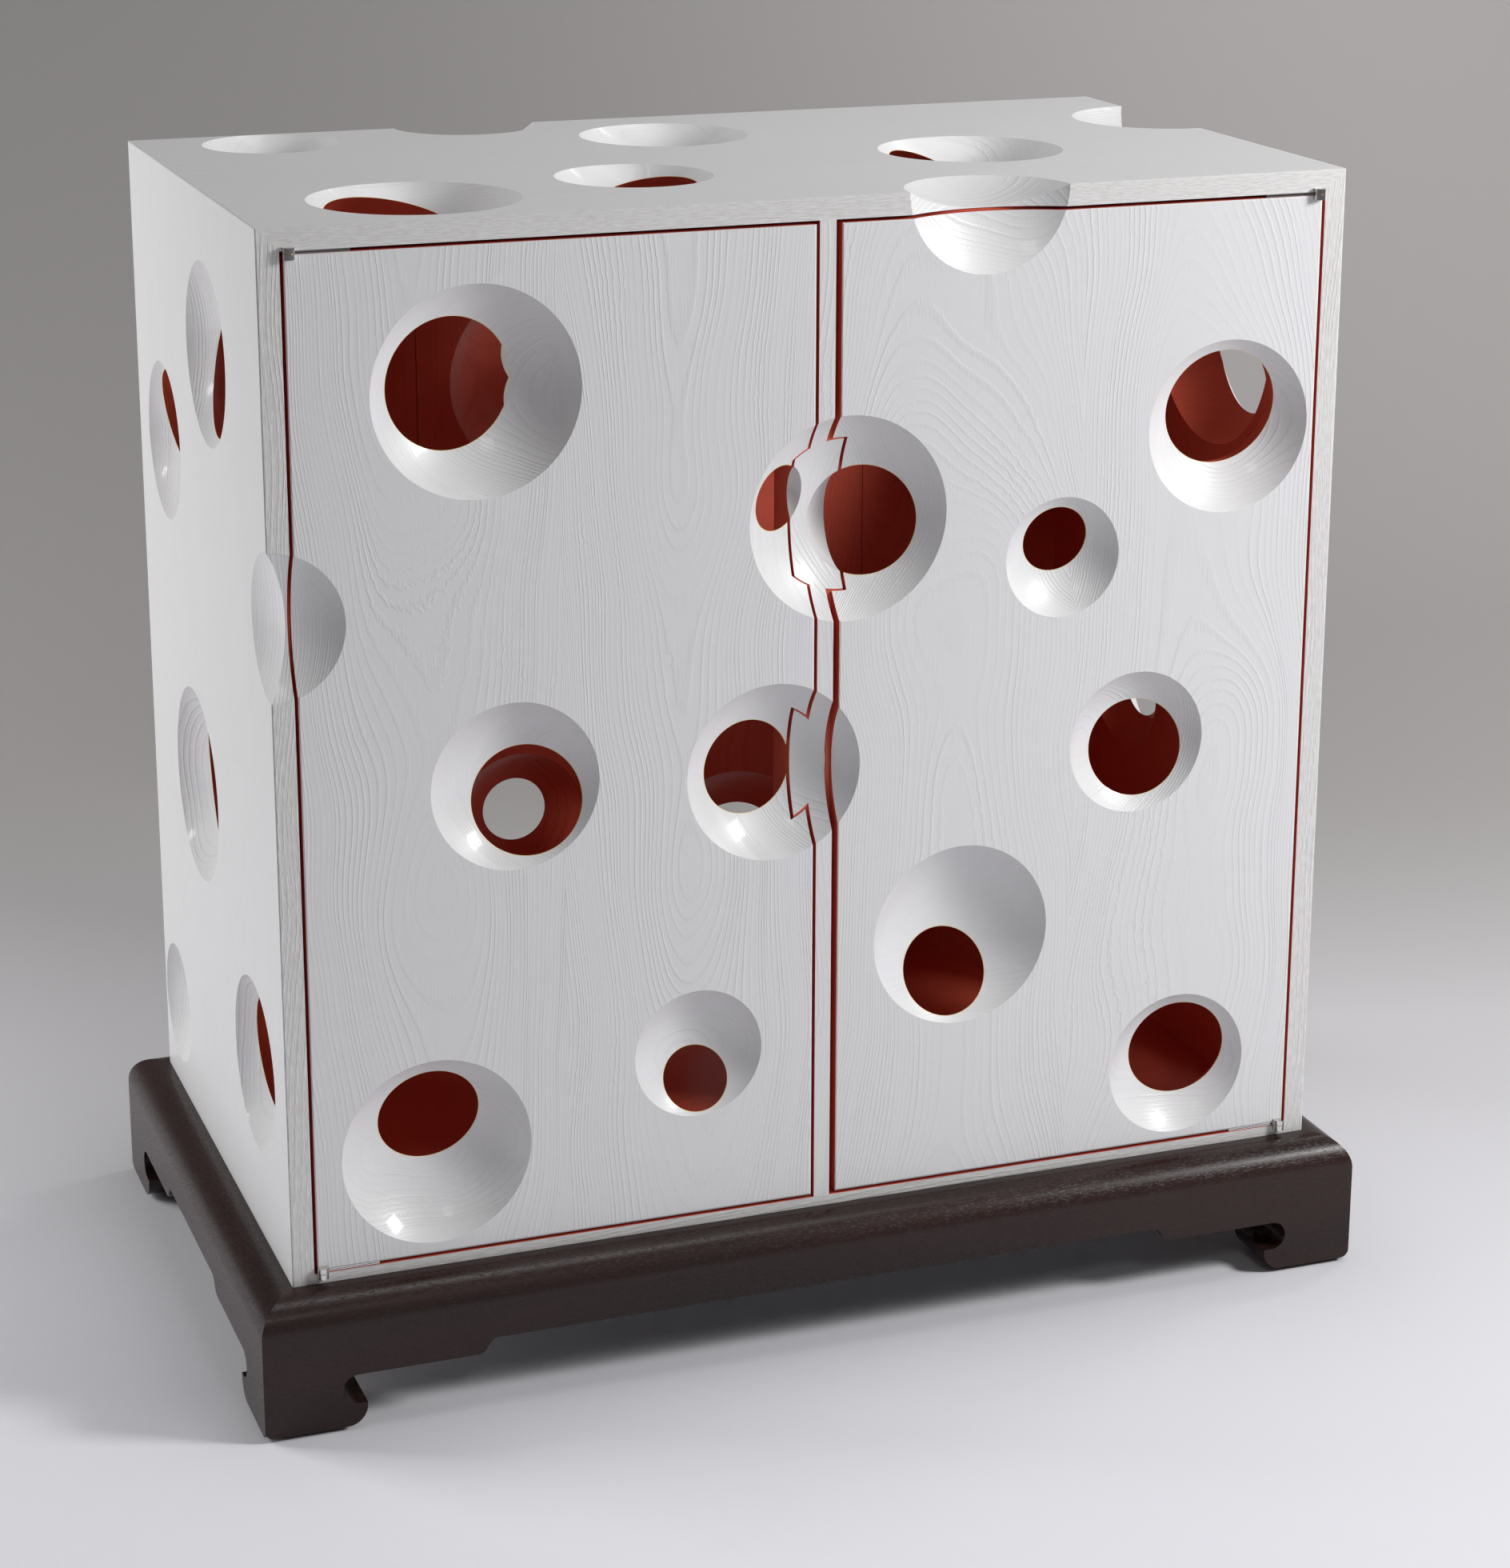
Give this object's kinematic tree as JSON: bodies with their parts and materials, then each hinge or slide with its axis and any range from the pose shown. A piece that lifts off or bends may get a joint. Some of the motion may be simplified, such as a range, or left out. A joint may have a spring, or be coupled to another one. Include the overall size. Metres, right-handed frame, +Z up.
{
  "type": "two-door cabinet on stand",
  "caption": "Box cabinet with two hinged doors, thick boards hollowed by round scoops that open into see-through holes, red inside, on a low dark bracket-foot stand.",
  "frame": {"origin": "on the floor, under the middle of the stand's footprint", "axes": "+Z up, the doors face -Y, +X to the right when facing the doors"},
  "size_m": [1.031, 0.596, 1.023],
  "materials": {
    "white_and_red_lacquer": "white lacquer over brushed grain outside, red lacquer inside",
    "hinge_steel": "satin",
    "washer_brass": "satin",
    "magnet_nickel": "plated",
    "strike_steel": "zinc plated",
    "dark_wood": "dark satin lacquer",
    "block_wood": "bare",
    "pad_rubber": "matt"
  },
  "bodies": {
    "root": {"left_side": "white_and_red_lacquer", "right_side": "white_and_red_lacquer", "top_panel": "white_and_red_lacquer", "bottom_panel": "white_and_red_lacquer", "centre_post": "white_and_red_lacquer", "back_board_left": "white_and_red_lacquer", "back_board_middle": "white_and_red_lacquer", "back_board_right": "white_and_red_lacquer", "top_left_hinge_case_leaf": "hinge_steel", "top_right_hinge_case_leaf": "hinge_steel", "bottom_left_hinge_case_leaf": "hinge_steel", "bottom_right_hinge_case_leaf": "hinge_steel", "hinge_pins": "hinge_steel", "case_hinge_screws": "hinge_steel", "hinge_washers": "washer_brass", "left_catch_magnets": "magnet_nickel", "right_catch_magnets": "magnet_nickel", "stand_front_rail": "dark_wood", "stand_back_rail": "dark_wood", "stand_left_rail": "dark_wood", "stand_right_rail": "dark_wood", "corner_block_front_left": "block_wood", "foot_pad_front_left": "pad_rubber", "corner_block_front_right": "block_wood", "foot_pad_front_right": "pad_rubber", "corner_block_back_left": "block_wood", "foot_pad_back_left": "pad_rubber", "corner_block_back_right": "block_wood", "foot_pad_back_right": "pad_rubber", "stand_screws": "hinge_steel"},
    "left_door": {"left_door": "white_and_red_lacquer", "top_left_hinge_door_leaf": "hinge_steel", "bottom_left_hinge_door_leaf": "hinge_steel", "left_door_hinge_screws": "hinge_steel", "left_strike_discs": "strike_steel"},
    "right_door": {"right_door": "white_and_red_lacquer", "top_right_hinge_door_leaf": "hinge_steel", "bottom_right_hinge_door_leaf": "hinge_steel", "right_door_hinge_screws": "hinge_steel", "right_strike_discs": "strike_steel"}
  },
  "joints": [
    {"name": "left_door_hinge", "type": "hinge", "parent": "root", "child": "left_door", "pos_m": [-0.454, -0.265, 0.568], "axis": [0, 0, -1], "range_deg": [0, 175]},
    {"name": "right_door_hinge", "type": "hinge", "parent": "root", "child": "right_door", "pos_m": [0.454, -0.265, 0.568], "axis": [0, 0, 1], "range_deg": [0, 175]}
  ]
}
